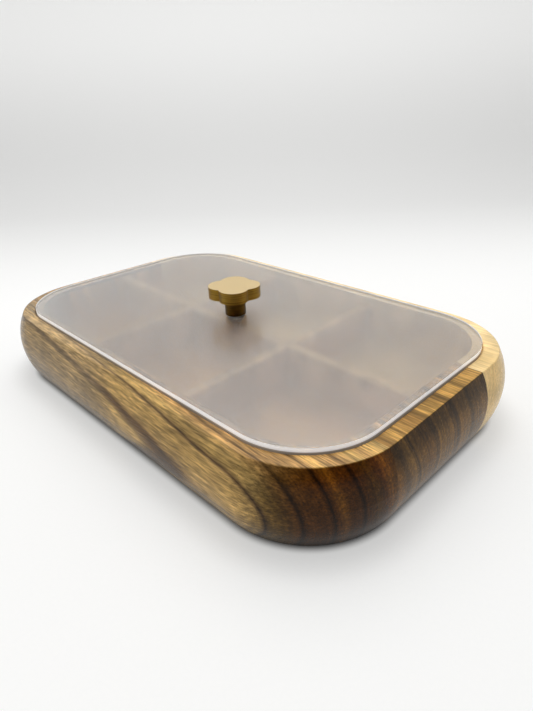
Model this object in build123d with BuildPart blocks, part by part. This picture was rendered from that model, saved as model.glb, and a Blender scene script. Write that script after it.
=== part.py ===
"""Chip and dip server: an edge-glued wooden tray with a slatted divider, and a frosted lid with a
four-lobed brass knob. Millimetres, +Z up, X along the tray; the origin is on the table, under the middle.
"""

from build123d import *

import os

# Wooden block: overall size and the barrel-shaped side
LENGTH = 356.0
WIDTH = 231.0
HEIGHT = 51.0
CORNER_RADIUS = 64.0
BELLY_HEIGHT = 28.0  # height at which the side stands out furthest
FOOT_INSET = 8.0  # how far the side draws in, from the belly down to the table
RIM_INSET = 6.4  # and from the belly up to the rim
FOOT_ROUND = 3.0
RIM_ROUND = 0.8
FRONT_GLUE_LINE = -57.0  # Y of the joint between the front and middle staves
BACK_GLUE_LINE = 40.0  # and between the middle and back ones

# Lid panel and its seat in the rim
LID_LENGTH = 322.0
LID_WIDTH = 200.0
LID_CORNER = 49.0
LID_THICKNESS = 5.0
LID_ARRIS = 0.5
SEAT_GAP = 0.8
SEAT_DEPTH = 2.0
SEAT_LEDGE = 6.0
SEAT_HEIGHT = HEIGHT - SEAT_DEPTH

# Cavity under the lid
FLOOR_HEIGHT = 11.0
FLOOR_ROUND = 5.0
CAVITY_LENGTH = LID_LENGTH - 2 * SEAT_LEDGE
CAVITY_WIDTH = LID_WIDTH - 2 * SEAT_LEDGE
CAVITY_CORNER = LID_CORNER - SEAT_LEDGE

# Divider slats, housed in grooves and half-lapped where they cross
SLAT_THICKNESS = 7.0
SLAT_TOP = 42.5
SLAT_ROUND = 1.2
GROOVE_DEPTH = 2.0
SLAT_BOTTOM = FLOOR_HEIGHT - GROOVE_DEPTH
SLAT_HEIGHT = SLAT_TOP - SLAT_BOTTOM
LONG_SLAT_LENGTH = CAVITY_LENGTH + 2 * GROOVE_DEPTH
CROSS_SLAT_LENGTH = CAVITY_WIDTH + 2 * GROOVE_DEPTH
CROSS_SLAT_X = CAVITY_LENGTH / 6 + SLAT_THICKNESS / 6  # three equal pockets along the tray
LAP_CLEARANCE = 0.1

# Knob, stacked on the lid from the bottom up
LID_TOP = SEAT_HEIGHT + LID_THICKNESS
GASKET_THICKNESS = 0.8
POST_RADIUS = 7.8
POST_HEIGHT = 13.5
POST_CHAMFER = 0.4
HEAD_THICKNESS = 8.5
HEAD_SPAN = 38.0
LOBE_RADIUS = 10.7
LOBE_TURN = 45.0  # the lobes point at the tray's corners
NOTCH_ROUND = 2.0
HEAD_ROUND = 0.6
POST_BOTTOM = LID_TOP + GASKET_THICKNESS
HEAD_BOTTOM = POST_BOTTOM + POST_HEIGHT

# M4 x 25 pan-head screw with its washer, from under the lid
SCREW_RADIUS = 1.95
SCREW_LENGTH = 25.0
SCREW_CHAMFER = 0.5
THREAD_RADIUS = 2.0
THREAD_DEPTH = 5.5
CLEARANCE_RADIUS = 2.25
WASHER_RADIUS = 6.0
WASHER_THICKNESS = 1.0
PAN_RADIUS = 4.0
PAN_HEIGHT = 2.8
PAN_ROUND = 1.2
RECESS_LENGTH = 4.4
RECESS_WIDTH = 1.0
RECESS_DEPTH = 1.6
WASHER_TOP = SEAT_HEIGHT - GASKET_THICKNESS
PAN_TOP = WASHER_TOP - WASHER_THICKNESS


def side_section(plane, half_span, whole=False):
    """A section through the block, from its middle out to the barrel-shaped side, or to both sides."""
    with BuildSketch(plane) as section:
        with BuildLine():
            lower = TangentArc((half_span, BELLY_HEIGHT), (half_span - FOOT_INSET, 0), tangent=(0, -1))
            upper = TangentArc((half_span, BELLY_HEIGHT), (half_span - RIM_INSET, HEIGHT), tangent=(0, 1))
            Polyline(lower @ 1, (0, 0), (0, HEIGHT), upper @ 1)
        make_face()
        if whole:
            mirror(about=Plane.YZ)
    return section.sketch


def tray_block():
    """The glued block with its outside shaped, before anything is cut into it."""
    corner_x = LENGTH / 2 - CORNER_RADIUS
    corner_y = WIDTH / 2 - CORNER_RADIUS
    with BuildPart() as block:
        extrude(side_section(Plane.YZ, WIDTH / 2, whole=True), amount=corner_x, both=True)
        extrude(side_section(Plane.XZ, LENGTH / 2, whole=True), amount=corner_y, both=True)
        for x in (-corner_x, corner_x):
            for y in (-corner_y, corner_y):
                upright = Plane(origin=(x, y, 0), x_dir=(1, 0, 0), z_dir=(0, -1, 0))
                revolve(side_section(upright, CORNER_RADIUS), axis=Axis((x, y, 0), (0, 0, 1)))
        fillet(block.edges().group_by(Axis.Z)[0], radius=FOOT_ROUND)
    return block


def carved_tray():
    """The block with the cavity, the lid seat and the grooves for the slats machined into it."""
    shaped = tray_block()
    with BuildPart() as tray:
        add(shaped.part)
        with BuildSketch(Plane.XY.offset(FLOOR_HEIGHT)):
            RectangleRounded(CAVITY_LENGTH, CAVITY_WIDTH, CAVITY_CORNER)
        extrude(amount=HEIGHT, mode=Mode.SUBTRACT)
        fillet(tray.edges().filter_by_position(Axis.Z, FLOOR_HEIGHT, FLOOR_HEIGHT), radius=FLOOR_ROUND)
        with BuildSketch(Plane.XY.offset(SEAT_HEIGHT)):
            RectangleRounded(LID_LENGTH + 2 * SEAT_GAP, LID_WIDTH + 2 * SEAT_GAP, LID_CORNER + SEAT_GAP)
        extrude(amount=HEIGHT, mode=Mode.SUBTRACT)
        fillet(tray.edges().group_by(Axis.Z)[-1], radius=RIM_ROUND)
        with Locations((0, 0, SLAT_BOTTOM)):
            Box(
                LONG_SLAT_LENGTH,
                SLAT_THICKNESS,
                SLAT_HEIGHT,
                align=(Align.CENTER, Align.CENTER, Align.MIN),
                mode=Mode.SUBTRACT,
            )
        with Locations((-CROSS_SLAT_X, 0, SLAT_BOTTOM), (CROSS_SLAT_X, 0, SLAT_BOTTOM)):
            Box(
                SLAT_THICKNESS,
                CROSS_SLAT_LENGTH,
                SLAT_HEIGHT,
                align=(Align.CENTER, Align.CENTER, Align.MIN),
                mode=Mode.SUBTRACT,
            )
    return tray


def stave(tray, name, near_y, far_y):
    """One edge-glued stave of the tray, between two glue lines; None is an outer side."""
    with BuildPart() as plank:
        add(tray.part)
        if near_y is not None:
            split(bisect_by=Plane(origin=(0, near_y, 0), z_dir=(0, 1, 0)), keep=Keep.TOP)
        if far_y is not None:
            split(bisect_by=Plane(origin=(0, far_y, 0), z_dir=(0, 1, 0)), keep=Keep.BOTTOM)
    plank.part.label = name
    return plank


def long_slat():
    """The slat along the tray, notched from above so that the cross slats drop into it."""
    with BuildPart() as slat:
        with BuildSketch(Plane.XY.offset(SLAT_BOTTOM)):
            Rectangle(LONG_SLAT_LENGTH, SLAT_THICKNESS)
        extrude(amount=SLAT_HEIGHT)
        fillet(slat.faces().sort_by(Axis.Z)[-1].edges().filter_by(Axis.X), radius=SLAT_ROUND)
        with Locations((-CROSS_SLAT_X, 0, SLAT_TOP), (CROSS_SLAT_X, 0, SLAT_TOP)):
            Box(
                SLAT_THICKNESS + 2 * LAP_CLEARANCE,
                SLAT_THICKNESS,
                SLAT_HEIGHT / 2,
                align=(Align.CENTER, Align.CENTER, Align.MAX),
                mode=Mode.SUBTRACT,
            )
    slat.part.label = "long_divider"
    return slat


def cross_slat(name, x):
    """A slat across the tray, notched from below to sit over the long one."""
    with BuildPart() as slat:
        with BuildSketch(Plane(origin=(x, 0, SLAT_BOTTOM))):
            Rectangle(SLAT_THICKNESS, CROSS_SLAT_LENGTH)
        extrude(amount=SLAT_HEIGHT)
        fillet(slat.faces().sort_by(Axis.Z)[-1].edges().filter_by(Axis.Y), radius=SLAT_ROUND)
        with Locations((x, 0, SLAT_BOTTOM)):
            Box(
                SLAT_THICKNESS,
                SLAT_THICKNESS + 2 * LAP_CLEARANCE,
                SLAT_HEIGHT / 2,
                align=(Align.CENTER, Align.CENTER, Align.MIN),
                mode=Mode.SUBTRACT,
            )
    slat.part.label = name
    return slat


def lid_panel():
    """The flat lid with eased edges and the knob screw's hole."""
    with BuildPart() as lid:
        with BuildSketch(Plane.XY.offset(SEAT_HEIGHT)):
            RectangleRounded(LID_LENGTH, LID_WIDTH, LID_CORNER)
            Circle(CLEARANCE_RADIUS, mode=Mode.SUBTRACT)
        extrude(amount=LID_THICKNESS)
        outlines = lid.faces().filter_by(Axis.Z).wires().group_by(SortBy.LENGTH)[-1]
        chamfer([edge for wire in outlines for edge in wire.edges()], length=LID_ARRIS)
    lid.part.label = "lid_panel"
    return lid


def ring(name, bottom, thickness, radius, bore):
    """A flat washer on the knob's axis."""
    with BuildPart() as washer:
        with BuildSketch(Plane.XY.offset(bottom)):
            Circle(radius)
            Circle(bore, mode=Mode.SUBTRACT)
        extrude(amount=thickness)
    washer.part.label = name
    return washer


def knob_post():
    """The turned post between the lid and the head, bored through for the screw."""
    with BuildPart() as post:
        with BuildSketch(Plane.XY.offset(POST_BOTTOM)):
            Circle(POST_RADIUS)
            Circle(CLEARANCE_RADIUS, mode=Mode.SUBTRACT)
        extrude(amount=POST_HEIGHT)
        chamfer(post.edges().group_by(Axis.Z)[0].sort_by(SortBy.RADIUS)[-1], length=POST_CHAMFER)
    post.part.label = "knob_post"
    return post


def knob_head():
    """The four-lobed head, with a blind threaded hole in its underside."""
    lobe_reach = HEAD_SPAN / 2 - LOBE_RADIUS
    with BuildPart() as head:
        with BuildSketch(Plane.XY.offset(HEAD_BOTTOM)) as clover:
            with PolarLocations(lobe_reach, 4, start_angle=LOBE_TURN):
                Circle(LOBE_RADIUS)
            fillet(clover.vertices(), radius=NOTCH_ROUND)
        extrude(amount=HEAD_THICKNESS)
        fillet(head.edges().group_by(Axis.Z)[-1], radius=HEAD_ROUND)
        fillet(head.edges().group_by(Axis.Z)[0], radius=HEAD_ROUND)
        with BuildSketch(Plane.XY.offset(HEAD_BOTTOM)):
            Circle(THREAD_RADIUS)
        extrude(amount=THREAD_DEPTH, mode=Mode.SUBTRACT)
    head.part.label = "knob_head"
    return head


def knob_screw():
    """Pan-head machine screw, driven upwards from under the lid, with a cross recess."""
    with BuildPart() as screw:
        with BuildSketch(Plane.XY.offset(PAN_TOP - PAN_HEIGHT)):
            Circle(PAN_RADIUS)
        extrude(amount=PAN_HEIGHT)
        fillet(screw.edges().group_by(Axis.Z)[0], radius=PAN_ROUND)
        with BuildSketch(Plane.XY.offset(PAN_TOP)):
            Circle(SCREW_RADIUS)
        extrude(amount=SCREW_LENGTH)
        chamfer(screw.edges().group_by(Axis.Z)[-1], length=SCREW_CHAMFER)
        with BuildSketch(Plane.XY.offset(PAN_TOP - PAN_HEIGHT)):
            Rectangle(RECESS_LENGTH, RECESS_WIDTH)
            Rectangle(RECESS_WIDTH, RECESS_LENGTH)
        extrude(amount=RECESS_DEPTH, mode=Mode.SUBTRACT)
    screw.part.label = "knob_screw"
    return screw


def server():
    """Every piece of the server, in place."""
    tray = carved_tray()
    return [
        stave(tray, "front_stave", None, FRONT_GLUE_LINE),
        stave(tray, "middle_stave", FRONT_GLUE_LINE, BACK_GLUE_LINE),
        stave(tray, "back_stave", BACK_GLUE_LINE, None),
        long_slat(),
        cross_slat("left_cross_divider", -CROSS_SLAT_X),
        cross_slat("right_cross_divider", CROSS_SLAT_X),
        lid_panel(),
        ring("post_gasket", LID_TOP, GASKET_THICKNESS, POST_RADIUS, CLEARANCE_RADIUS),
        ring("under_lid_gasket", WASHER_TOP, GASKET_THICKNESS, WASHER_RADIUS, CLEARANCE_RADIUS),
        ring("screw_washer", PAN_TOP, WASHER_THICKNESS, WASHER_RADIUS, CLEARANCE_RADIUS),
        knob_post(),
        knob_head(),
        knob_screw(),
    ]


os.makedirs("parts", exist_ok=True)
for piece in server():
    export_step(piece.part, f"parts/{piece.part.label}.step")
    print(piece.part.label, "volume", round(piece.part.volume), "solids", len(piece.part.solids()))
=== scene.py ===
"""Chip and dip server: an edge-glued wooden tray, a frosted lid and a clover-shaped brass knob.

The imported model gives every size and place. Lengths are in metres unless a name says millimetres.
"""

import logging
import math
from dataclasses import dataclass, field
from enum import Enum
from typing import Callable, Optional, Sequence, Union

import bmesh
import bpy
from mathutils import Matrix, Vector


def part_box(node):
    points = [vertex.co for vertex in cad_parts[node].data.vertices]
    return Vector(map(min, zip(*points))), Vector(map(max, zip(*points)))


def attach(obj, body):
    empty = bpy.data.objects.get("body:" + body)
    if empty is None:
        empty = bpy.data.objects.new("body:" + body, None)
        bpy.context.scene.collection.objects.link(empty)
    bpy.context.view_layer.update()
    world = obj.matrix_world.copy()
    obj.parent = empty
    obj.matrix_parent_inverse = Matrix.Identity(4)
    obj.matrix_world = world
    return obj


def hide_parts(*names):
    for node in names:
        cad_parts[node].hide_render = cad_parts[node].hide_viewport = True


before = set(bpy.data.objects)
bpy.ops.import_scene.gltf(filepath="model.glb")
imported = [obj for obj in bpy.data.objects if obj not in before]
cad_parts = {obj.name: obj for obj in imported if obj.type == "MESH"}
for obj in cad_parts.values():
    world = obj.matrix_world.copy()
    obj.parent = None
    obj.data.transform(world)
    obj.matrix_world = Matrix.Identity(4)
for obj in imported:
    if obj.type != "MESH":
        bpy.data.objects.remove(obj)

Colour = tuple[float, float, float]
Socket = bpy.types.NodeSocket
Feed = Union[Socket, float, Sequence[float]]

LOG = logging.getLogger("server")
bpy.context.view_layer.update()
MM = 0.001
POCKET_REACH = (156.0, 95.0)  # how far the pockets go from the tray's middle, in millimetres


class Body(Enum):
    """The server's two bodies: the lid lifts off the tray."""

    TRAY = "tray"
    LID = "lid"


class Recipe:
    """A material's node tree, built up one node at a time."""

    def __init__(self, name: str) -> None:
        """Starts an empty material.

        Args:
            name: The material's name.
        """
        self.material = bpy.data.materials.new(name)
        self.material.use_nodes = True
        self.tree = self.material.node_tree
        self.tree.nodes.clear()
        self.shader = self.node("ShaderNodeBsdfPrincipled")
        output = self.node("ShaderNodeOutputMaterial")
        self.tree.links.new(self.shader.outputs[0], output.inputs["Surface"])

    def node(self, kind: str, **settings: object) -> bpy.types.Node:
        """Adds a node.

        Args:
            kind: The node's type.
            **settings: Properties to set on it.

        Returns:
            The new node.
        """
        made = self.tree.nodes.new(kind)
        for key, value in settings.items():
            setattr(made, key, value)
        return made

    def feed(self, socket: Socket, value: Feed) -> None:
        """Links another node's output into a socket, or sets the socket's own value.

        Args:
            socket: The input.
            value: An output to link, or a plain value.
        """
        if isinstance(value, bpy.types.NodeSocket):
            self.tree.links.new(value, socket)
        else:
            socket.default_value = value

    def math(self, operation: str, first: Feed, second: Feed = 0.0, clamp: bool = False) -> Socket:
        """One step of arithmetic.

        Args:
            operation: The Math node's operation.
            first: Its first input.
            second: Its second input, if it has one.
            clamp: Whether the result is kept between 0 and 1.

        Returns:
            The result.
        """
        step = self.node("ShaderNodeMath", operation=operation, use_clamp=clamp)
        self.feed(step.inputs[0], first)
        self.feed(step.inputs[1], second)
        return step.outputs[0]

    def fit(self, value: Socket, low: float, high: float, to_low: float = 0.0, to_high: float = 1.0) -> Socket:
        """Maps a range onto another one, smoothly and with no overshoot.

        Args:
            value: The value to map.
            low: Where the first range starts.
            high: Where it ends.
            to_low: What low becomes.
            to_high: What high becomes.

        Returns:
            The mapped value.
        """
        span = self.node("ShaderNodeMapRange", interpolation_type="SMOOTHSTEP")
        for socket, number in zip(span.inputs, (value, low, high, to_low, to_high)):
            self.feed(socket, number)
        return span.outputs[0]

    def millimetres(self) -> Socket:
        """The surface's position in the object's own frame, in millimetres."""
        place = self.node("ShaderNodeTexCoord")
        scaled = self.node("ShaderNodeVectorMath", operation="SCALE")
        self.feed(scaled.inputs[0], place.outputs["Object"])
        self.feed(scaled.inputs["Scale"], 1 / MM)
        return scaled.outputs[0]

    def stretched(self, position: Socket, grain: Sequence[float], shift: float = 0.0) -> Socket:
        """A position divided by a grain's size along each axis.

        Args:
            position: The position, in millimetres.
            grain: The grain's length along each axis, in millimetres.
            shift: Moves the pattern, so that two pieces don't share it.

        Returns:
            The scaled position.
        """
        mapping = self.node("ShaderNodeMapping")
        self.feed(mapping.inputs["Vector"], position)
        self.feed(mapping.inputs["Scale"], [1 / size for size in grain])
        self.feed(mapping.inputs["Location"], [shift, shift * 0.7, shift * 1.3])
        return mapping.outputs[0]

    def noise(self, position: Socket, grain: Sequence[float], detail: float = 2.0, shift: float = 0.0) -> Socket:
        """Soft random variation.

        Args:
            position: The position, in millimetres.
            grain: The size of its features along each axis, in millimetres.
            detail: How many finer layers it has.
            shift: Moves the pattern.

        Returns:
            A value around 0.5.
        """
        texture = self.node("ShaderNodeTexNoise")
        self.feed(texture.inputs["Vector"], self.stretched(position, grain, shift))
        self.feed(texture.inputs["Scale"], 1.0)
        self.feed(texture.inputs["Detail"], detail)
        return texture.outputs[0]

    def line_noise(self, distance: Socket, spacing: float, detail: float = 2.0) -> Socket:
        """Random variation along one number only, which makes layers.

        Args:
            distance: The number, in millimetres.
            spacing: The usual thickness of a layer.
            detail: How many finer layers it has.

        Returns:
            A value around 0.5.
        """
        texture = self.node("ShaderNodeTexNoise", noise_dimensions="1D")
        self.feed(texture.inputs["W"], self.math("DIVIDE", distance, spacing))
        self.feed(texture.inputs["Scale"], 1.0)
        self.feed(texture.inputs["Detail"], detail)
        return texture.outputs[0]

    def ramp(self, value: Socket, stops: Sequence[tuple[float, Colour]]) -> Socket:
        """A colour that changes along a value.

        Args:
            value: Where on the ramp to read.
            stops: Each colour with its place, from 0 to 1.

        Returns:
            The colour.
        """
        ramp = self.node("ShaderNodeValToRGB")
        self.feed(ramp.inputs[0], value)
        elements = ramp.color_ramp.elements
        for index, (place, colour) in enumerate(stops):
            element = elements[index] if index < 2 else elements.new(place)
            element.position = place
            element.color = (*colour, 1.0)
        return ramp.outputs[0]

    def mix(self, share: Feed, first: Feed, second: Feed, blend: str = "MIX") -> Socket:
        """Mixes two colours.

        Args:
            share: How much of the second colour there is.
            first: The first colour.
            second: The second colour.
            blend: How they combine.

        Returns:
            The mixed colour.
        """
        mixer = self.node("ShaderNodeMix", data_type="RGBA", blend_type=blend)
        self.feed(mixer.inputs[0], share)
        for socket, colour in zip(mixer.inputs[6:8], (first, second)):
            self.feed(socket, colour)
        return mixer.outputs[2]

    def shade(self, colour: Socket, factor: Socket) -> Socket:
        """A colour made lighter or darker.

        Args:
            colour: The colour.
            factor: What it is multiplied by.

        Returns:
            The result.
        """
        scaled = self.node("ShaderNodeVectorMath", operation="SCALE")
        self.feed(scaled.inputs[0], colour)
        self.feed(scaled.inputs["Scale"], factor)
        return scaled.outputs[0]

    def deepen(self, colour: Socket, power: Socket) -> Socket:
        """A colour made darker and richer, as oil makes wood.

        Args:
            colour: The colour.
            power: How much deeper; 1 leaves it as it is.

        Returns:
            The result.
        """
        gamma = self.node("ShaderNodeGamma")
        self.feed(gamma.inputs[0], colour)
        self.feed(gamma.inputs[1], power)
        return gamma.outputs[0]

    def facing(self) -> list[Socket]:
        """Which way the surface faces: along, across and up."""
        geometry = self.node("ShaderNodeNewGeometry")
        parts = self.node("ShaderNodeSeparateXYZ")
        self.feed(parts.inputs[0], geometry.outputs["Normal"])
        return list(parts.outputs)

    def bump(self, height: Socket, depth: float, strength: float = 1.0) -> None:
        """Raises the surface by a height from 0 to 1.

        Args:
            height: The height.
            depth: How deep the full height is.
            strength: How much of it shows.
        """
        relief = self.node("ShaderNodeBump")
        self.feed(relief.inputs["Height"], height)
        self.feed(relief.inputs["Distance"], depth)
        self.feed(relief.inputs["Strength"], strength)
        self.feed(self.shader.inputs["Normal"], relief.outputs[0])

    def finish(self, **sockets: Feed) -> bpy.types.Material:
        """Sets the shader's inputs.

        Args:
            **sockets: The inputs, with underscores for spaces.

        Returns:
            The finished material.
        """
        for name, value in sockets.items():
            self.feed(self.shader.inputs[name.replace("_", " ")], value)
        return self.material


@dataclass(frozen=True)
class WoodFinish:
    """Oiled wood with its fibres along the tray, as a solid pattern that shows rings on the end grain. Over the grain
    it carries painted light and shade, set by the attributes below.

    Attributes:
        name: The material's name.
        pith: Where the growth rings centre, across and up, in millimetres.
        bands: Colours of the broad growth bands, each with its distance from the pith in millimetres.
        slope: How fast the rings drift along the tray.
        wander: How far the rings stray from round, in millimetres.
        ring_spacing: The usual thickness of a ring, in millimetres.
        ring_depth: How strongly the fine rings show.
        fibre: How strongly the long fibres show.
        fleck: How strongly the short flecks show.
        pore_tone: How dark the open pores are.
        end_depth: How much richer the end grain's colour is.
        end_grain_and_shade_tone: How dark it is, partly its own colour and partly painted shade.
        under_rim_painted_tone: Painted light and shade on the ends just under the rim: above 1 lightens them, below 1
            darkens them.
        under_rim_painted_depth: How much richer their colour is there, as painted shade.
        top_painted_light: How light the faces that look up are, as painted light.
        foot_painted_shade: How dark the sides are at the table, as painted shade.
        foot_reach: How far up that goes, in millimetres.
        pocket_painted_light: How light the wood inside the pockets is, as painted light.
        calm: Where along the board the bands fade out and where they are at full strength, in millimetres.
        shift: Moves the pattern, so that no two boards share it.
    """

    name: str
    pith: tuple[float, float]
    bands: tuple[tuple[float, Colour], ...]
    slope: float = 0.0
    wander: float = 6.0
    ring_spacing: float = 2.6
    ring_depth: float = 0.5
    fibre: float = 0.24
    fleck: float = 0.16
    pore_tone: float = 0.55
    end_depth: float = 1.2
    end_grain_and_shade_tone: float = 0.9
    under_rim_painted_tone: float = 1.0
    under_rim_painted_depth: float = 0.0
    top_painted_light: float = 1.0
    foot_painted_shade: float = 0.8
    foot_reach: float = 10.0
    pocket_painted_light: float = 1.0
    calm: Optional[tuple[float, float]] = None
    shift: float = 0.0

    def ring_distance(self, recipe: Recipe, place: Socket) -> Socket:
        """The distance from the pith, bent by the way the tree grew.

        Args:
            recipe: The material being made.
            place: The position in millimetres.

        Returns:
            The distance in millimetres.
        """
        parts = recipe.node("ShaderNodeSeparateXYZ")
        recipe.feed(parts.inputs[0], place)
        along, across, up = parts.outputs
        side = recipe.math("SUBTRACT", across, self.pith[0])
        rise = recipe.math("SUBTRACT", up, self.pith[1])
        square = recipe.math("ADD", recipe.math("MULTIPLY", side, side), recipe.math("MULTIPLY", rise, rise))
        distance = recipe.math("SQRT", square)
        drift = recipe.math("MULTIPLY", along, self.slope)
        broad = recipe.math("SUBTRACT", recipe.noise(place, (120, 55, 55), 1.0, self.shift), 0.5)
        close = recipe.math("SUBTRACT", recipe.noise(place, (34, 15, 15), 1.5, self.shift + 5), 0.5)
        distance = recipe.math("ADD", distance, drift)
        distance = recipe.math("ADD", distance, recipe.math("MULTIPLY", broad, self.wander * 2))
        return recipe.math("ADD", distance, recipe.math("MULTIPLY", close, self.wander * 0.45))

    def material(self) -> bpy.types.Material:
        """Builds the material."""
        recipe = Recipe(self.name)
        place = recipe.millimetres()
        distance = self.ring_distance(recipe, place)
        first, last = self.bands[0][0], self.bands[-1][0]
        spread = recipe.fit(distance, first, last)
        spread.node.interpolation_type = "LINEAR"
        stops = [((where - first) / (last - first), tint) for where, tint in self.bands]
        colour = recipe.ramp(spread, stops)

        wide_rings = recipe.line_noise(distance, self.ring_spacing, 1.0)
        close_rings = recipe.line_noise(distance, self.ring_spacing * 0.31, 2.0)
        rings = recipe.math("ADD", recipe.math("MULTIPLY", wide_rings, 0.6), recipe.math("MULTIPLY", close_rings, 0.4))
        fibres = recipe.noise(place, (36, 2.0, 2.0), 3.0, self.shift)
        flecks = recipe.noise(place, (9, 0.9, 0.9), 2.0, self.shift + 13)
        figure = recipe.noise(place, (22, 30, 30), 2.0, self.shift + 3)
        pores = recipe.fit(recipe.noise(place, (7.0, 0.5, 0.5), 1.0, self.shift + 9), 0.6, 0.72)

        tone = recipe.fit(rings, 0.32, 0.68, 1 - self.ring_depth * 0.6, 1 + self.ring_depth * 0.4)
        for grain, depth in ((fibres, self.fibre), (flecks, self.fleck), (figure, 0.18)):
            tone = recipe.math("MULTIPLY", tone, recipe.fit(grain, 0.3, 0.7, 1 - depth, 1 + depth))
        tone = recipe.math("MULTIPLY", tone, recipe.fit(pores, 0.0, 1.0, 1.0, self.pore_tone))

        ends, _, up = recipe.facing()
        end_grain = recipe.math("ABSOLUTE", ends)
        parts = recipe.node("ShaderNodeSeparateXYZ")
        recipe.feed(parts.inputs[0], place)
        along, _, height = parts.outputs
        # Painted light: top_painted_light lightens the faces that look up.
        outside = recipe.fit(up, 0.0, 0.75, 1.0, self.top_painted_light)
        # Painted shade: foot_painted_shade darkens the sides near the table, up to foot_reach.
        outside = recipe.math("MULTIPLY", outside, recipe.fit(height, 0.0, self.foot_reach, self.foot_painted_shade, 1.0))
        # end_grain_and_shade_tone darkens the end grain: partly its own colour, partly painted shade.
        outside = recipe.math("MULTIPLY", outside, recipe.fit(end_grain, 0.06, 0.6, 1.0, self.end_grain_and_shade_tone))
        # Painted light and shade on the ends just under the rim, set by under_rim_painted_tone.
        under_rim_mask = recipe.math("MULTIPLY", recipe.fit(height, 34.0, 48.0), recipe.fit(end_grain, 0.3, 0.8))
        outside = recipe.math("MULTIPLY", outside, recipe.fit(under_rim_mask, 0.0, 1.0, 1.0, self.under_rim_painted_tone))
        # Painted light: pocket_painted_light lightens the wood inside the pockets.
        pocket_painted_lift = recipe.math("MULTIPLY", recipe.math("SUBTRACT", self.pocket_painted_light, outside), self.inside(recipe, place))
        tone = recipe.math("MULTIPLY", tone, recipe.math("ADD", outside, pocket_painted_lift))
        if self.calm:
            colour = recipe.mix(recipe.fit(along, *self.calm, 0.6, 0.0), colour, (*self.bands[0][1], 1.0))
        # The end grain deepens in colour, and under_rim_painted_depth adds painted shade just under the rim.
        depth = recipe.fit(end_grain, 0.25, 0.75, 1.0, self.end_depth)
        depth = recipe.math("ADD", depth, recipe.fit(under_rim_mask, 0.0, 1.0, 0.0, self.under_rim_painted_depth))
        colour = recipe.deepen(colour, depth)
        colour = recipe.shade(colour, tone)

        rough = recipe.math("ADD", recipe.fit(fibres, 0.3, 0.7, 0.2, 0.28), recipe.math("MULTIPLY", pores, 0.2))
        relief = recipe.math("SUBTRACT", recipe.math("MULTIPLY", fibres, 0.6), recipe.math("MULTIPLY", pores, 0.5))
        recipe.bump(relief, 0.05 * MM, 0.5)
        return recipe.finish(Base_Color=colour, Roughness=rough, Specular_IOR_Level=0.11)

    def inside(self, recipe: Recipe, place: Socket) -> Socket:
        """Tells the wood inside the pockets from the rest, so that it can be lightened as painted light.

        Args:
            recipe: The material being made.
            place: The position in millimetres.

        Returns:
            1 in the pockets, and 0 outside.
        """
        within = recipe.node("ShaderNodeVectorMath", operation="ABSOLUTE")
        recipe.feed(within.inputs[0], place)
        parts = recipe.node("ShaderNodeSeparateXYZ")
        recipe.feed(parts.inputs[0], within.outputs[0])
        along, across, up = parts.outputs
        factor = recipe.fit(up, 44.0, 48.5, 1.0, 0.0)
        factor = recipe.math("MULTIPLY", factor, recipe.fit(along, POCKET_REACH[0], POCKET_REACH[0] + 3, 1.0, 0.0))
        factor = recipe.math("MULTIPLY", factor, recipe.fit(across, POCKET_REACH[1], POCKET_REACH[1] + 3, 1.0, 0.0))
        corner = recipe.fit(recipe.math("ADD", along, across), 228.0, 236.0, 1.0, 0.0)
        return recipe.math("MULTIPLY", recipe.math("MULTIPLY", factor, corner), recipe.fit(up, 5.0, 8.0))


@dataclass(frozen=True)
class FrostedAcrylic:
    """Sheet frosted on its faces, which blurs what is behind it and scatters a milky share of the light."""

    name: str = "frosted_acrylic"
    clear_share: float = 0.86
    roughness: float = 0.23

    def material(self) -> bpy.types.Material:
        """Builds the material."""
        recipe = Recipe(self.name)
        place = recipe.millimetres()
        clouds = recipe.noise(place, (60, 60, 60), 2.0, 4.0)
        rough = recipe.fit(clouds, 0.3, 0.7, self.roughness - 0.01, self.roughness + 0.01)
        tint = recipe.ramp(clouds, ((0.3, (0.94, 0.925, 0.90)), (0.7, (0.97, 0.955, 0.93))))
        return recipe.finish(
            Base_Color=tint, Roughness=rough, Transmission_Weight=self.clear_share, IOR=1.49
        )


@dataclass(frozen=True)
class AcrylicEdge:
    """The sheet's cut edge, with a painted glow that makes it nearly white above the rim, and painted shade just above
    the rim where its seat would shade it.

    Attributes:
        name: The material's name.
        glow: How strongly the edge's painted glow shines.
        seat_shade_reach: How far above the rim the painted shade of its seat reaches up the edge, in millimetres.
    """

    name: str = "acrylic_edge"
    glow: float = 0.42
    seat_shade_reach: float = 1.1

    def material(self) -> bpy.types.Material:
        """Builds the material."""
        recipe = Recipe(self.name)
        place = recipe.millimetres()
        parts = recipe.node("ShaderNodeSeparateXYZ")
        recipe.feed(parts.inputs[0], place)
        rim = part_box("front_stave")[1].z / MM
        # Painted shade: below this height the edge gets a dull brown colour and a dim glow.
        lit = recipe.fit(parts.outputs[2], rim, rim + self.seat_shade_reach)
        saw_marks = recipe.noise(place, (12, 12, 3), 1.0)
        tint = recipe.ramp(saw_marks, ((0.3, (0.86, 0.865, 0.87)), (0.7, (0.90, 0.90, 0.90))))
        tint = recipe.mix(lit, (0.50, 0.44, 0.37, 1.0), tint)
        rough = recipe.fit(saw_marks, 0.3, 0.7, 0.28, 0.32)
        # The emission is a painted glow: the edge shines though it is no lamp.
        return recipe.finish(
            Base_Color=tint,
            Roughness=rough,
            Emission_Color=recipe.mix(lit, (0.22, 0.18, 0.14, 1.0), (0.96, 0.97, 1.0, 1.0)),
            Emission_Strength=self.glow,
        )


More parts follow.
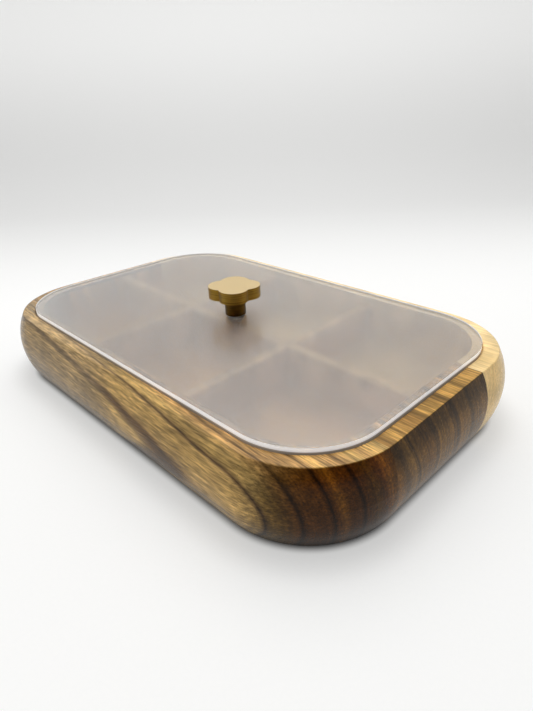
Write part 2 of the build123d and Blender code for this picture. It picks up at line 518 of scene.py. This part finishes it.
@dataclass(frozen=True)
class SatinBrass:
    """Brass brushed on top and with turning marks round its upright sides, which get a darker colour than the top as
    painted shade.

    Attributes:
        name: The material's name.
        top: The colour of the brushed faces.
        side: The colour of the upright ones, darker than the top as painted shade.
    """

    name: str = "satin_brass"
    top: Colour = (0.65, 0.49, 0.245)
    side: Colour = (0.43, 0.26, 0.045)

    def material(self) -> bpy.types.Material:
        """Builds the material."""
        recipe = Recipe(self.name)
        place = recipe.millimetres()
        turned = recipe.noise(place, (26, 26, 0.55), 2.0)
        brushed = recipe.noise(place, (0.3, 9, 9), 2.0, 2.0)
        # Painted shade: faces that look up get the top colour, upright ones the darker side colour.
        flat = recipe.fit(recipe.math("ABSOLUTE", recipe.facing()[2]), 0.45, 0.9)
        marks = recipe.mix(flat, turned, brushed)
        sides = recipe.ramp(turned, ((0.35, tuple(c * 0.5 for c in self.side)), (0.65, self.side)))
        tops = recipe.ramp(brushed, ((0.3, tuple(c * 0.9 for c in self.top)), (0.7, self.top)))
        rough = recipe.fit(marks, 0.3, 0.7, 0.28, 0.4)
        recipe.bump(marks, 0.03 * MM, 0.6)
        return recipe.finish(Base_Color=recipe.mix(flat, sides, tops), Metallic=1.0, Roughness=rough)


@dataclass(frozen=True)
class PlatedSteel:
    """Zinc-plated steel, turned."""

    name: str = "plated_steel"

    def material(self) -> bpy.types.Material:
        """Builds the material."""
        recipe = Recipe(self.name)
        place = recipe.millimetres()
        mottle = recipe.noise(place, (1.6, 1.6, 1.6), 3.0)
        tint = recipe.ramp(mottle, ((0.3, (0.50, 0.51, 0.53)), (0.7, (0.66, 0.66, 0.66))))
        rough = recipe.fit(mottle, 0.3, 0.7, 0.26, 0.42)
        return recipe.finish(Base_Color=tint, Metallic=1.0, Roughness=rough)


@dataclass(frozen=True)
class ClearSilicone:
    """Soft, nearly clear silicone."""

    name: str = "clear_silicone"

    def material(self) -> bpy.types.Material:
        """Builds the material."""
        recipe = Recipe(self.name)
        place = recipe.millimetres()
        haze = recipe.noise(place, (1.0, 1.0, 1.0), 2.0)
        tint = recipe.ramp(haze, ((0.3, (0.78, 0.79, 0.80)), (0.7, (0.90, 0.90, 0.90))))
        rough = recipe.fit(haze, 0.3, 0.7, 0.4, 0.55)
        return recipe.finish(Base_Color=tint, Roughness=rough, Transmission_Weight=0.6, IOR=1.41)


@dataclass(frozen=True)
class StudioPaper:
    """Matt white paper, which glows as if lit from behind, so that shadows on it stay faint.

    Attributes:
        name: The material's name.
        floor_glow: How much the floor glows.
        bend_glow: How much it glows in the bend of the sweep.
        wall_glow: How much the wall glows.
        backwards: The level direction from the tray to the wall.
        tray_plan: The tray's length and width.
        foot_inset: How far the tray's foot stands in from its sides, in millimetres.
        foot_corner: The foot's corner radius, in millimetres.
    """

    backwards: Vector
    name: str = "studio_paper"
    floor_glow: float = 0.62
    bend_glow: float = 0.405
    wall_glow: float = 0.565
    tray_plan: tuple[float, float] = (0.356, 0.231)
    foot_inset: float = 8.0
    foot_corner: float = 56.0

    def material(self) -> bpy.types.Material:
        """Builds the material."""
        recipe = Recipe(self.name)
        place = recipe.millimetres()
        parts = recipe.node("ShaderNodeSeparateXYZ")
        recipe.feed(parts.inputs[0], place)
        tooth = recipe.noise(place, (2.0, 2.0, 2.0), 2.0)
        tint = recipe.ramp(tooth, ((0.3, (0.35, 0.352, 0.35)), (0.7, (0.36, 0.36, 0.358))))
        up = parts.outputs[2]
        backwards = recipe.node("ShaderNodeVectorMath", operation="DOT_PRODUCT")
        recipe.feed(backwards.inputs[0], place)
        recipe.feed(backwards.inputs[1], self.backwards)
        glow = recipe.fit(backwards.outputs["Value"], 120.0, 640.0, self.floor_glow, self.bend_glow)
        glow = recipe.math("ADD", glow, recipe.fit(up, 60.0, 340.0, 0.0, self.wall_glow - self.bend_glow))
        # Painted shadow: the glow fades round the tray's foot.
        glow = recipe.math("MULTIPLY", glow, self.painted_contact_shadow(recipe, place))
        return recipe.finish(
            Base_Color=tint, Roughness=0.85, Emission_Color=(1.0, 1.0, 0.99, 1.0), Emission_Strength=glow
        )

    def painted_contact_shadow(self, recipe: Recipe, place: Socket) -> Socket:
        """Fades the glow out where the tray stands on the paper, which paints a contact shadow round its foot.

        Args:
            recipe: The material being made.
            place: The position in millimetres.

        Returns:
            A factor for the glow.
        """
        outside = recipe.node("ShaderNodeVectorMath", operation="ABSOLUTE")
        recipe.feed(outside.inputs[0], place)
        beyond = recipe.node("ShaderNodeVectorMath", operation="SUBTRACT")
        recipe.feed(beyond.inputs[0], outside.outputs[0])
        half_length, half_width = (0.5 * side / MM - self.foot_inset - self.foot_corner for side in self.tray_plan)
        recipe.feed(beyond.inputs[1], (half_length, half_width, 0.0))
        kept = recipe.node("ShaderNodeVectorMath", operation="MAXIMUM")
        recipe.feed(kept.inputs[0], beyond.outputs[0])
        recipe.feed(kept.inputs[1], (0.0, 0.0, 0.0))
        reach = recipe.node("ShaderNodeVectorMath", operation="LENGTH")
        recipe.feed(reach.inputs[0], kept.outputs[0])
        gap = recipe.math("SUBTRACT", reach.outputs["Value"], self.foot_corner)
        near = recipe.fit(gap, -1.0, 5.5, 0.04, 0.84)
        return recipe.math("ADD", near, recipe.fit(gap, 4.0, 26.0, 0.0, 0.16))


def dress(node: str, material: bpy.types.Material) -> None:
    """Gives a CAD node its finish.

    Args:
        node: The node's name.
        material: The finish.
    """
    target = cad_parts[node]
    target.data.materials.clear()
    target.data.materials.append(material)
    LOG.info("dressed %s in %s", node, material.name)


# The first colour is a greyish brown: the innermost of the front board's bands, and the tone they fade to towards its
# left end.
GREYISH_BROWN = (0.27, 0.19, 0.10)
GOLD = (0.52, 0.325, 0.105)
TAN = (0.42, 0.265, 0.09)
OLIVE = (0.37, 0.235, 0.075)
UMBER = (0.13, 0.068, 0.022)
DARK_LINE = (0.09, 0.048, 0.02)
CORNER_LINE = (0.19, 0.105, 0.036)
RUSSET = (0.38, 0.215, 0.072)
AMBER = (0.56, 0.34, 0.105)

FRONT_BOARD = WoodFinish(
    name="front_board_wood",
    pith=(-324.0, -18.0),
    slope=0.07,
    wander=2.4,
    ring_spacing=2.4,
    ring_depth=0.42,
    fleck=0.33,
    end_depth=1.9,
    end_grain_and_shade_tone=0.44,
    under_rim_painted_tone=1.5,
    under_rim_painted_depth=0.35,
    top_painted_light=1.4,
    foot_painted_shade=0.28,
    foot_reach=26.0,
    pocket_painted_light=1.9,
    calm=(-25.0, 20.0),
    bands=(
        (200.0, GREYISH_BROWN),
        (208.0, TAN),
        (210.5, OLIVE),
        (213.0, TAN),
        (215.6, OLIVE),
        (216.8, UMBER),
        (218.0, UMBER),
        (219.8, TAN),
        (224.0, GOLD),
        (226.2, TAN),
        (227.4, DARK_LINE),
        (229.0, OLIVE),
        (232.0, OLIVE),
        (237.0, RUSSET),
        (238.3, CORNER_LINE),
        (239.8, RUSSET),
        (244.0, RUSSET),
        (248.6, RUSSET),
        (250.4, CORNER_LINE),
        (251.8, RUSSET),
        (255.0, AMBER),
        (259.0, RUSSET),
        (262.6, RUSSET),
        (264.2, CORNER_LINE),
        (266.0, RUSSET),
        (272.0, OLIVE),
        (277.0, RUSSET),
        (281.0, AMBER),
        (286.0, OLIVE),
    ),
)
MIDDLE_BOARD = WoodFinish(
    name="middle_board_wood",
    pith=(-300.0, -30.0),
    slope=0.02,
    wander=6.0,
    ring_spacing=6.0,
    ring_depth=0.95,
    fleck=0.22,
    end_depth=1.2,
    end_grain_and_shade_tone=0.33,
    under_rim_painted_tone=0.5,
    foot_painted_shade=0.5,
    foot_reach=22.0,
    top_painted_light=0.98,
    pocket_painted_light=1.45,
    shift=21.0,
    bands=(
        (230.0, (0.42, 0.215, 0.045)),
        (242.0, (0.56, 0.31, 0.075)),
        (254.0, (0.44, 0.22, 0.05)),
        (268.0, (0.60, 0.34, 0.085)),
        (284.0, (0.48, 0.25, 0.06)),
        (300.0, (0.61, 0.345, 0.085)),
        (314.0, (0.50, 0.27, 0.065)),
        (332.0, (0.58, 0.325, 0.08)),
        (350.0, (0.52, 0.29, 0.075)),
    ),
)
BACK_BOARD = WoodFinish(
    name="back_board_wood",
    pith=(300.0, -60.0),
    slope=-0.03,
    wander=6.0,
    ring_spacing=4.0,
    ring_depth=0.16,
    fibre=0.09,
    fleck=0.06,
    pore_tone=0.85,
    end_depth=1.1,
    end_grain_and_shade_tone=1.0,
    top_painted_light=1.26,
    foot_painted_shade=0.55,
    foot_reach=26.0,
    pocket_painted_light=1.1,
    shift=47.0,
    bands=(
        (180.0, (0.74, 0.52, 0.22)),
        (228.0, (0.82, 0.62, 0.32)),
        (264.0, (0.76, 0.54, 0.24)),
        (300.0, (0.82, 0.63, 0.34)),
    ),
)
SLAT_WOOD = WoodFinish(
    name="slat_wood",
    pith=(140.0, -160.0),
    wander=5.0,
    ring_depth=0.35,
    end_depth=1.3,
    foot_painted_shade=1.0,
    pocket_painted_light=1.25,
    shift=83.0,
    bands=((150.0, (0.60, 0.38, 0.16)), (235.0, (0.68, 0.46, 0.21)), (320.0, (0.58, 0.36, 0.15))),
)


@dataclass
class Tray:
    """The glued block and its slats."""

    boards: dict[str, WoodFinish] = field(
        default_factory=lambda: {
            "front_stave": FRONT_BOARD,
            "middle_stave": MIDDLE_BOARD,
            "back_stave": BACK_BOARD,
        }
    )
    slats: tuple[str, ...] = ("long_divider", "left_cross_divider", "right_cross_divider")

    def build(self) -> None:
        """Dresses the staves and the slats."""
        for node, board in self.boards.items():
            dress(node, board.material())
        slat_finish = SLAT_WOOD.material()
        for node in self.slats:
            dress(node, slat_finish)


def fresh_selection() -> None:
    """Leaves nothing selected, so that an operator acts only on what is added next."""
    if bpy.context.object and bpy.context.object.mode != "OBJECT":
        bpy.ops.object.mode_set(mode="OBJECT")
    bpy.ops.object.select_all(action="DESELECT")


def apply_modifiers(piece: bpy.types.Object) -> None:
    """Applies every modifier on a piece, in order.

    Args:
        piece: The piece, which becomes the active object.
    """
    bpy.context.view_layer.objects.active = piece
    for modifier in list(piece.modifiers):
        bpy.ops.object.modifier_apply(modifier=modifier.name)


def carve(piece: bpy.types.Object, cutter: bpy.types.Object) -> None:
    """Takes one solid out of another, and throws the cutter away.

    Args:
        piece: The piece to cut.
        cutter: What is cut out of it.
    """
    cut = piece.modifiers.new("cut", "BOOLEAN")
    cut.object = cutter
    cut.operation = "DIFFERENCE"
    apply_modifiers(piece)
    fresh_selection()
    cutter.select_set(True)
    bpy.ops.object.delete()


def drill(piece: bpy.types.Object, radius: float, low: float, high: float) -> None:
    """Bores a hole on the upright axis through the origin.

    Args:
        piece: The piece to bore.
        radius: The hole's radius.
        low: Where the drill starts.
        high: Where it ends.
    """
    fresh_selection()
    bpy.ops.mesh.primitive_cylinder_add(
        vertices=48, radius=radius, depth=high - low, location=(0, 0, (low + high) / 2)
    )
    carve(piece, bpy.context.object)


def thicken(piece: bpy.types.Object, height: float, easing: float, segments: int) -> None:
    """Draws a flat outline up into a solid and eases its top and bottom edges.

    Args:
        piece: The outline, in edit mode.
        height: The solid's height.
        easing: How far its edges are eased.
        segments: How many facets round each edge.
    """
    bpy.ops.mesh.select_all(action="SELECT")
    bpy.ops.mesh.extrude_region_move(TRANSFORM_OT_translate={"value": (0, 0, height)})
    mesh = bmesh.from_edit_mesh(piece.data)
    bmesh.ops.recalc_face_normals(mesh, faces=mesh.faces)
    for edge in mesh.edges:
        heights = [vert.co.z for vert in edge.verts]
        edge.select_set(abs(heights[0] - heights[1]) < 0.1 * MM)
    bmesh.update_edit_mesh(piece.data)
    bpy.ops.mesh.bevel(offset=easing, segments=segments)
    bpy.ops.object.mode_set(mode="OBJECT")


def traced(name: str, points: Sequence[Vector]) -> bpy.types.Object:
    """Draws a chain of edges through points, and leaves it selected in edit mode.

    Args:
        name: The piece's name.
        points: Where the chain goes.

    Returns:
        The piece.
    """
    fresh_selection()
    bpy.ops.mesh.primitive_plane_add(size=MM, location=points[0])
    bpy.ops.object.transform_apply(location=True, rotation=False, scale=False)
    piece = bpy.context.object
    piece.name = name
    bpy.ops.object.mode_set(mode="EDIT")
    bpy.ops.mesh.select_all(action="SELECT")
    bpy.ops.mesh.merge(type="CENTER")
    for start, stop in zip(points, points[1:]):
        bpy.ops.mesh.extrude_vertices_move(TRANSFORM_OT_translate={"value": stop - start})
    bpy.ops.mesh.select_all(action="SELECT")
    return piece


def turned(name: str, profile: Sequence[tuple[float, float]], easing: float, steps: int = 72) -> bpy.types.Object:
    """Turns a piece on the upright axis, as on a lathe, and eases its sharp edges.

    Args:
        name: The piece's name.
        profile: Radius and height of each corner of one half. It ends on the axis or where it started.
        easing: How far the sharp edges are eased.
        steps: How many facets it has round the axis.

    Returns:
        The piece.
    """
    piece = traced(name, [Vector((radius, 0, height)) for radius, height in profile])
    bpy.ops.mesh.spin(steps=steps, angle=math.tau, center=(0, 0, 0), axis=(0, 0, 1))
    bpy.ops.mesh.select_all(action="SELECT")
    bpy.ops.mesh.remove_doubles(threshold=0.001 * MM)
    bpy.ops.mesh.normals_make_consistent(inside=False)
    bpy.ops.object.mode_set(mode="OBJECT")
    edges = piece.modifiers.new("eased_edges", "BEVEL")
    edges.width = easing
    edges.segments = 3
    edges.limit_method = "ANGLE"
    edges.angle_limit = math.radians(35)
    apply_modifiers(piece)
    return piece


def hand_over(
    piece: bpy.types.Object, body: Body, node: str, materials: Sequence[bpy.types.Material]
) -> None:
    """Puts a finished piece in place of the CAD node that it stands for.

    Args:
        piece: The piece.
        body: The body it moves with.
        node: The CAD node.
        materials: Its finishes.
    """
    fresh_selection()
    piece.select_set(True)
    bpy.context.view_layer.objects.active = piece
    bpy.ops.object.shade_smooth_by_angle(angle=math.radians(30))
    for material in materials:
        piece.data.materials.append(material)
    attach(piece, body.value)
    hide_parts(node)
    LOG.info("built %s in place of %s, %d faces", piece.name, node, len(piece.data.polygons))


def arc(centre: Vector, radius: float, start: float, stop: float, steps: int) -> list[Vector]:
    """Points round part of a circle that lies flat.

    Args:
        centre: The circle's middle.
        radius: Its radius.
        start: The angle of the first point, in radians.
        stop: The angle of the last one.
        steps: How many steps there are between them.

    Returns:
        The points, with both ends.
    """
    turns = [start + (stop - start) * step / steps for step in range(steps + 1)]
    return [centre + radius * Vector((math.cos(turn), math.sin(turn), 0)) for turn in turns]


@dataclass
class Lid:
    """The frosted panel and the gaskets on it.

    Attributes:
        corner: The panel's corner radius in plan.
        arris: How far its edges are eased.
        seat_gap: The film of air between the panel and its seat.
        bore: The screw hole's radius.
        squeeze: How far the gasket's edge draws in under the post.
    """

    corner: float = 49 * MM
    arris: float = 0.5 * MM
    seat_gap: float = 0.12 * MM
    bore: float = 2.25 * MM
    squeeze: float = 0.5 * MM

    def panel(self) -> bpy.types.Object:
        """Models the sheet: a plane rounded at its corners, thickened, and eased along its edges."""
        low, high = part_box("lid_panel")
        fresh_selection()
        bpy.ops.mesh.primitive_plane_add(size=1.0)
        sheet = bpy.context.object
        sheet.name = "frosted_panel"
        bpy.ops.object.mode_set(mode="EDIT")
        bottom = low.z + self.seat_gap
        bpy.ops.transform.resize(value=(high.x - low.x, high.y - low.y, 1.0))
        bpy.ops.transform.translate(value=(0, 0, bottom))
        bpy.ops.mesh.bevel(affect="VERTICES", offset=self.corner, segments=28)
        thicken(sheet, high.z - bottom, self.arris, 3)
        drill(sheet, self.bore, low.z - MM, high.z + MM)
        return sheet

    def gasket(self, name: str, node: str, squeeze: float) -> bpy.types.Object:
        """Models a soft ring with a rounded edge.

        Args:
            name: The piece's name.
            node: The CAD node it stands for.
            squeeze: How far its edge draws in.

        Returns:
            The piece.
        """
        low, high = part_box(node)
        outer = high.x - squeeze
        profile = (
            (self.bore, low.z), (outer, low.z), (outer, high.z), (self.bore, high.z), (self.bore, low.z)
        )
        return turned(name, profile, easing=0.3 * MM)

    def build(self) -> None:
        """Models the panel and its gaskets."""
        sheet = self.panel()
        for face in sheet.data.polygons:
            face.material_index = int(abs(face.normal.z) < 0.9)
        finishes = [FrostedAcrylic().material(), AcrylicEdge().material()]
        hand_over(sheet, Body.LID, "lid_panel", finishes)
        silicone = [ClearSilicone().material()]
        for name, node, squeeze in (
            ("upper_gasket", "post_gasket", self.squeeze),
            ("lower_gasket", "under_lid_gasket", 0.1 * MM),
        ):
            hand_over(self.gasket(name, node, squeeze), Body.LID, node, silicone)


@dataclass
class Knob:
    """The clover head on its turned post, held by a screw and washer from below.

    Attributes:
        span: The head across two opposite lobes.
        lobe: The radius of a lobe.
        notch: The radius of the notch between two lobes.
        head_easing: How far the head's edges are rounded.
        hole: The radius of the threaded hole in the head.
        hole_depth: Its depth.
        bore: The radius of the hole through the post.
        neck_depth: How deep the neck groove under the head is.
        neck_height: How high it is.
        shank: The radius over the screw's thread.
        pitch: The thread's pitch.
        pan_height: How thick the screw's head is.
        pan_radius: Its radius.
        recess: The length, width and depth of the slots of its cross recess.
    """

    span: float = 38 * MM
    lobe: float = 10.7 * MM
    notch: float = 2.0 * MM
    head_easing: float = 0.6 * MM
    hole: float = 2.0 * MM
    hole_depth: float = 5.5 * MM
    bore: float = 2.25 * MM
    neck_depth: float = 0.7 * MM
    neck_height: float = 0.9 * MM
    shank: float = 1.95 * MM
    pitch: float = 0.7 * MM
    pan_height: float = 2.8 * MM
    pan_radius: float = 4.0 * MM
    recess: tuple[float, float, float] = (4.4 * MM, 1.0 * MM, 1.6 * MM)

    def outline(self, height: float) -> list[Vector]:
        """The clover from above: a rounded notch and a round lobe, four times over.

        Args:
            height: How high it lies.

        Returns:
            Its points, once round.
        """
        offset = (self.span / 2 - self.lobe) * math.sqrt(0.5)
        lean = math.asin(offset / (self.lobe + self.notch))
        notch_reach = offset + (self.lobe + self.notch) * math.cos(lean)
        notch = arc(Vector((notch_reach, 0, height)), self.notch, math.pi + lean, math.pi - lean, 8)
        lobe = arc(Vector((offset, offset, height)), self.lobe, -lean, math.pi / 2 + lean, 44)
        turns = [Matrix.Rotation(quarter * math.pi / 2, 3, "Z") for quarter in range(4)]
        return [turn @ point for turn in turns for point in notch[:-1] + lobe[:-1]]

    def head(self) -> bpy.types.Object:
        """Models the clover, with its edges rounded and the threaded hole in its underside."""
        low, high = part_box("knob_head")
        clover = traced("clover_head", self.outline(low.z))
        bpy.ops.mesh.edge_face_add()
        thicken(clover, high.z - low.z, self.head_easing, 4)
        drill(clover, self.hole, low.z - MM, low.z + self.hole_depth)
        return clover

    def post(self) -> bpy.types.Object:
        """Models the post: turned, with a neck groove under the head."""
        low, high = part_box("knob_post")
        radius, neck = high.x, high.x - self.neck_depth
        shoulder = high.z - self.neck_height
        profile = (
            (self.bore, low.z), (radius, low.z), (radius, shoulder), (neck, shoulder),
            (neck, high.z), (self.bore, high.z), (self.bore, low.z),
        )
        return turned("turned_post", profile, easing=0.25 * MM, steps=96)

    def screw(self) -> bpy.types.Object:
        """Models the screw: a pan head with a cross recess, and a threaded shank."""
        low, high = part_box("knob_screw")
        root = self.shank - 0.6 * self.pitch
        shoulder = low.z + self.pan_height
        profile = [(0.0, low.z), (self.pan_radius, low.z), (self.pan_radius, shoulder), (self.shank, shoulder)]
        turns = int((high.z - shoulder) / self.pitch) - 2
        for turn in range(turns):
            crest = shoulder + (turn + 1.5) * self.pitch
            profile += [(root, crest - self.pitch / 2), (self.shank, crest)]
        profile += [(root, high.z - self.pitch / 2), (root - 0.3 * self.pitch, high.z), (0.0, high.z)]
        screw = turned("pan_screw", profile, easing=0.05 * MM, steps=40)
        length, width, depth = self.recess
        for size in ((length, width), (width, length)):
            fresh_selection()
            bpy.ops.mesh.primitive_cube_add(size=1.0, location=(0, 0, low.z), scale=(*size, 2 * depth))
            carve(screw, bpy.context.object)
        return screw

    def washer(self) -> bpy.types.Object:
        """Models the flat washer."""
        low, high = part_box("screw_washer")
        profile = (
            (self.bore, low.z), (high.x, low.z), (high.x, high.z), (self.bore, high.z), (self.bore, low.z)
        )
        return turned("flat_washer", profile, easing=0.15 * MM)

    def build(self) -> None:
        """Models and places the knob's pieces."""
        steel = [PlatedSteel().material()]
        hand_over(self.washer(), Body.LID, "screw_washer", steel)
        hand_over(self.screw(), Body.LID, "knob_screw", steel)
        # The post's sides are darker still, as painted shade under the head.
        post_brass_in_shade = SatinBrass(name="shaded_post_brass", side=(0.17, 0.095, 0.018))
        hand_over(self.post(), Body.LID, "knob_post", [post_brass_in_shade.material()])
        hand_over(self.head(), Body.LID, "knob_head", [SatinBrass().material()])


@dataclass
class Viewpoint:
    """Where the picture is taken from.

    Attributes:
        azimuth: Degrees round from the tray's front.
        elevation: Degrees above the table.
        roll: How far the camera leans, in degrees.
        distance: From the aim to the camera.
        aim: The point the camera looks at.
        lens: Focal length on a 36 mm sensor.
    """

    azimuth: float = 45.92
    elevation: float = 27.38
    roll: float = -2.11
    distance: float = 0.4114
    aim: tuple[float, float, float] = (0.0099, 0.0207, 0.0142)
    lens: float = 26.17

    def back(self) -> Vector:
        """The direction from the aim to the camera."""
        turn, rise = math.radians(self.azimuth), math.radians(self.elevation)
        return Vector((math.sin(turn) * math.cos(rise), -math.cos(turn) * math.cos(rise), math.sin(rise)))

    def build(self) -> None:
        """Adds the camera."""
        back = self.back()
        right = Vector((0, 0, 1)).cross(back).normalized()
        turned = Matrix((right, back.cross(right), back)).transposed()
        lean = Matrix.Rotation(math.radians(self.roll), 3, "Z")
        bpy.ops.object.camera_add()
        camera = bpy.context.object
        camera.matrix_world = (turned @ lean).to_4x4()
        camera.location = Vector(self.aim) + back * self.distance
        camera.data.lens = self.lens
        camera.data.clip_start = 0.01
        bpy.context.scene.camera = camera


@dataclass
class Studio:
    """A white sweep, lit by a big soft light from behind and a weaker one from the left.

    Attributes:
        view: The camera's place, which the sweep faces.
        wall_distance: From the tray to the wall behind it.
        wall_height: How high the wall goes.
        bend: The radius of the sweep.
        floor_reach: How far the floor goes the other way and to each side.
        seen_strength: How bright the surroundings are where the picture shows them.
    """

    view: Viewpoint
    wall_distance: float = 1.0
    wall_height: float = 1.7
    bend: float = 0.45
    floor_reach: float = 4.0
    seen_strength: float = 0.8

    def sweep(self) -> None:
        """Models the sweep: a floor, its back edge drawn up into a wall, and the bend rounded."""
        fresh_selection()
        bpy.ops.mesh.primitive_plane_add(size=1.0)
        paper = bpy.context.object
        paper.name = "sweep"
        bpy.ops.object.mode_set(mode="EDIT")
        mesh = bmesh.from_edit_mesh(paper.data)
        for vert in mesh.verts:
            vert.co.x *= 2 * self.floor_reach
            vert.co.y = self.wall_distance if vert.co.y > 0 else -self.floor_reach
        self.pick(paper, lambda edge: -sum(vert.co.y for vert in edge.verts))
        bpy.ops.mesh.extrude_region_move(TRANSFORM_OT_translate={"value": (0, 0, self.wall_height)})
        self.pick(paper, lambda edge: sum(self.from_fold(vert.co) for vert in edge.verts))
        bpy.ops.mesh.bevel(offset=self.bend, segments=24)
        bpy.ops.object.mode_set(mode="OBJECT")
        paper.rotation_euler.z = math.radians(self.view.azimuth)
        bpy.ops.object.transform_apply(location=False, rotation=True, scale=False)
        bpy.ops.object.shade_smooth()
        paper.data.materials.append(StudioPaper(self.backwards()).material())

    def pick(self, paper: bpy.types.Object, least: Callable[[bmesh.types.BMEdge], float]) -> None:
        """Selects one edge of the sweep.

        Args:
            paper: The sweep, in edit mode.
            least: The edge for which this is least is selected.
        """
        bpy.ops.mesh.select_all(action="DESELECT")
        mesh = bmesh.from_edit_mesh(paper.data)
        min(mesh.edges, key=least).select_set(True)
        bmesh.update_edit_mesh(paper.data)

    def backwards(self) -> Vector:
        """The level direction from the tray to the wall."""
        away = -self.view.back()
        return Vector((away.x, away.y, 0.0)).normalized()

    def from_fold(self, place: Vector) -> float:
        """How far a point is from the line where the floor meets the wall."""
        return abs(place.z) + abs(place.y - self.wall_distance)

    def surroundings(self) -> None:
        """Lights the scene weakly from all round, and least from the side where the camera stands."""
        world = bpy.data.worlds.new("studio_light")
        bpy.context.scene.world = world
        world.use_nodes = True
        tree = world.node_tree
        background = tree.nodes["Background"]
        place = tree.nodes.new("ShaderNodeTexCoord")
        dot = tree.nodes.new("ShaderNodeVectorMath")
        dot.operation = "DOT_PRODUCT"
        tree.links.new(place.outputs["Generated"], dot.inputs[0])
        dot.inputs[1].default_value = self.view.back()
        span = tree.nodes.new("ShaderNodeMapRange")
        span.interpolation_type = "SMOOTHSTEP"
        for socket, number in zip(span.inputs[1:5], (0.1, 0.8, 1.1, 0.05)):
            socket.default_value = number
        tree.links.new(dot.outputs["Value"], span.inputs[0])
        path = tree.nodes.new("ShaderNodeLightPath")
        seen = tree.nodes.new("ShaderNodeMix")
        tree.links.new(path.outputs["Is Camera Ray"], seen.inputs["Factor"])
        tree.links.new(span.outputs[0], seen.inputs["A"])
        seen.inputs["B"].default_value = self.seen_strength
        tree.links.new(seen.outputs["Result"], background.inputs["Strength"])
        background.inputs["Color"].default_value = (1.0, 0.995, 0.985, 1.0)

    def softbox(self, azimuth: float, elevation: float, distance: float, size: float, power: float) -> None:
        """Adds a square light aimed at the tray.

        Args:
            azimuth: Degrees round from the tray's front.
            elevation: Degrees above the table.
            distance: From the tray's middle.
            size: The light's side.
            power: In watts.
        """
        towards = Viewpoint(azimuth=azimuth, elevation=elevation).back()
        bpy.ops.object.light_add(type="AREA", location=towards * distance)
        lamp = bpy.context.object
        lamp.rotation_mode = "QUATERNION"
        lamp.rotation_quaternion = towards.to_track_quat("Z", "Y")
        lamp.data.size = size
        lamp.data.energy = power

    def build(self) -> None:
        """Sets up the sweep and the light."""
        self.sweep()
        self.surroundings()
        self.softbox(azimuth=222.0, elevation=64.0, distance=1.2, size=0.9, power=7.2)
        self.softbox(azimuth=-30.0, elevation=22.0, distance=1.2, size=0.8, power=1.7)
        self.softbox(azimuth=-116.0, elevation=12.0, distance=1.2, size=0.7, power=1.2)
        bpy.context.scene.view_settings.view_transform = "Standard"


def main() -> None:
    """Builds the picture."""
    logging.basicConfig(level=logging.INFO, format="%(message)s")
    view = Viewpoint()
    view.build()
    Studio(view).build()
    Tray().build()
    Lid().build()
    Knob().build()


if __name__ == "__main__":
    main()
